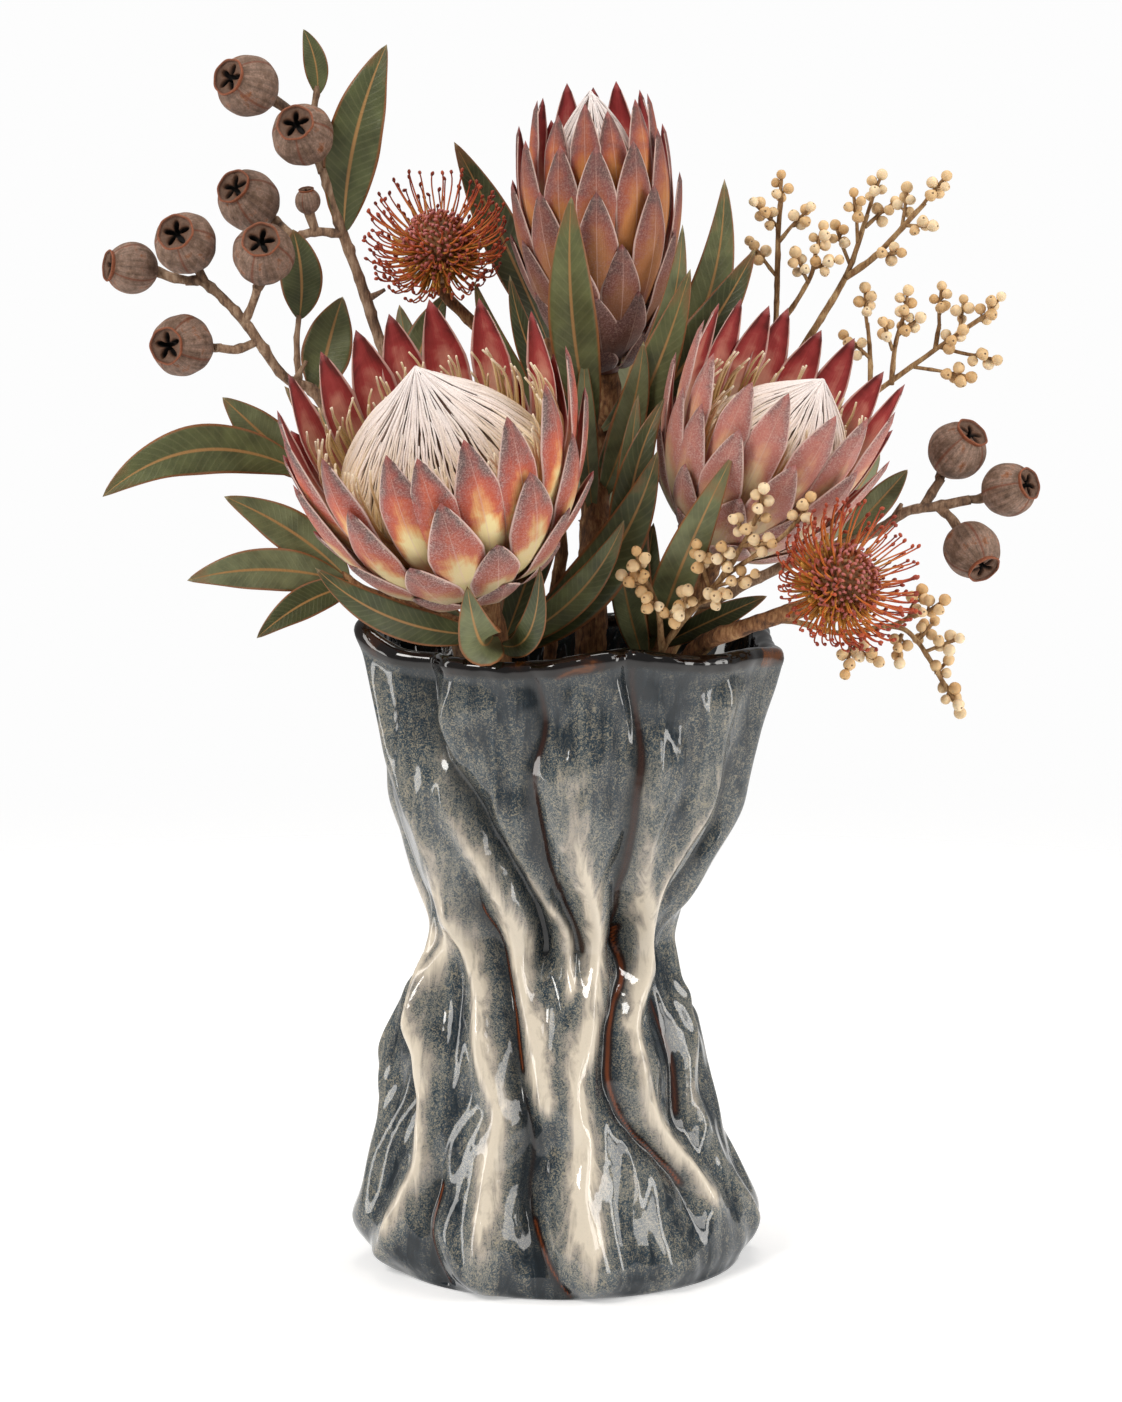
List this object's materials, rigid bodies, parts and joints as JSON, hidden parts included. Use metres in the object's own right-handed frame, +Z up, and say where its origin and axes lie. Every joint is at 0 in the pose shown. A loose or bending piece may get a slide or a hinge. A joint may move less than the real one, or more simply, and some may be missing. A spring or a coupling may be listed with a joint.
{
  "type": "vase of protea flowers",
  "caption": "Folded, waisted ceramic vase holding proteas, pincushion flowers, gum nut branches, berry sprays and long leaves.",
  "frame": {"origin": "centre of the vase's foot, on the surface it stands on", "axes": "+Z up, the bouquet's front faces -Y, +X to the right of someone looking at its front"},
  "size_m": [0.3686, 0.2096, 0.49],
  "materials": {
    "glazed_clay": "slate blue and cream reactive glaze, high gloss",
    "protea_bract": "downy, pink red with pale margins",
    "bud_bract": "downy, amber and mauve",
    "protea_floret": "silky, cream white",
    "pincushion_style": "satin, burnt orange",
    "gum_wood": "dry matt bark",
    "berry": "dull, cream tan",
    "leaf": "leathery, grey olive"
  },
  "bodies": {
    "root": {"vase": "glazed_clay", "left_protea_bracts": "protea_bract", "left_protea_florets": "protea_floret", "left_protea_leafy_stem": "leaf", "right_protea_bracts": "protea_bract", "right_protea_florets": "protea_floret", "right_protea_leafy_stem": "leaf", "upright_protea_bracts": "bud_bract", "upright_protea_florets": "protea_floret", "upright_protea_leafy_stem": "leaf", "tall_pincushion": "pincushion_style", "low_pincushion": "pincushion_style", "tall_gum_branch": "gum_wood", "left_gum_branch": "gum_wood", "right_gum_branch": "gum_wood", "upper_berry_spray": "berry", "right_berry_spray": "berry", "front_berry_spray": "berry", "low_berry_spray": "berry"}
  },
  "joints": []
}
